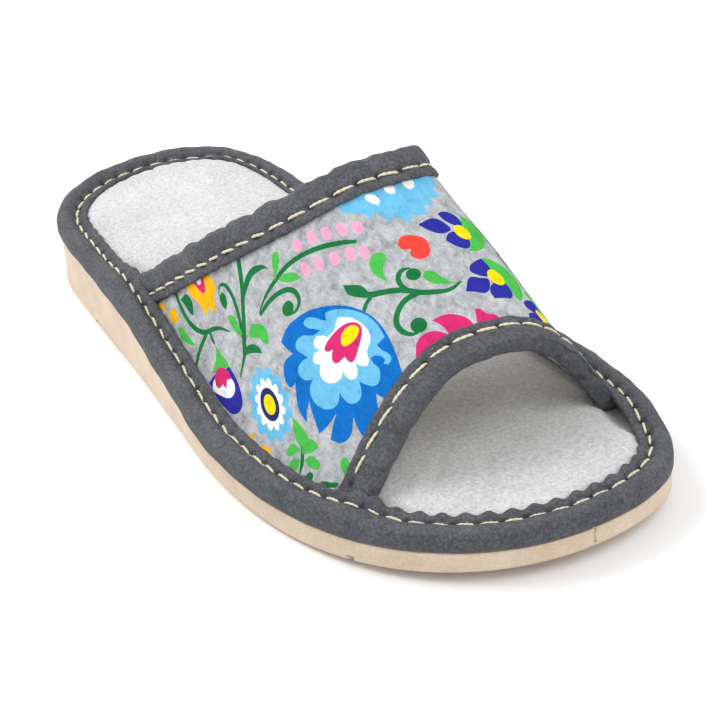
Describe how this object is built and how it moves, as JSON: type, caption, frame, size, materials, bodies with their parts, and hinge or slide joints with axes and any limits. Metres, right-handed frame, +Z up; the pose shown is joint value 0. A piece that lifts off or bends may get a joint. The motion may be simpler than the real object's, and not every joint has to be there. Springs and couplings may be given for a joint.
{
  "type": "open-toe slide slipper",
  "caption": "Right open-toe slide slipper: felt arch upper, padded insole and low wedge sole, with bound edges.",
  "frame": {"origin": "on the floor under the middle of the slipper's box", "axes": "+Y points to the toe, +X to the outer side of the right foot, +Z up"},
  "size_m": [0.1094, 0.25, 0.0741],
  "materials": {
    "sole_foam": "matt, lightly textured foam rubber",
    "insole_suede": "soft microfibre nap",
    "binding_leather": "matt nubuck grain",
    "printed_felt": "heather felt with a printed flower pattern"
  },
  "bodies": {
    "root": {"outsole": "sole_foam", "insole": "insole_suede", "edge_binding": "binding_leather", "upper": "printed_felt", "collar_binding": "binding_leather", "toe_binding": "binding_leather"}
  },
  "joints": []
}
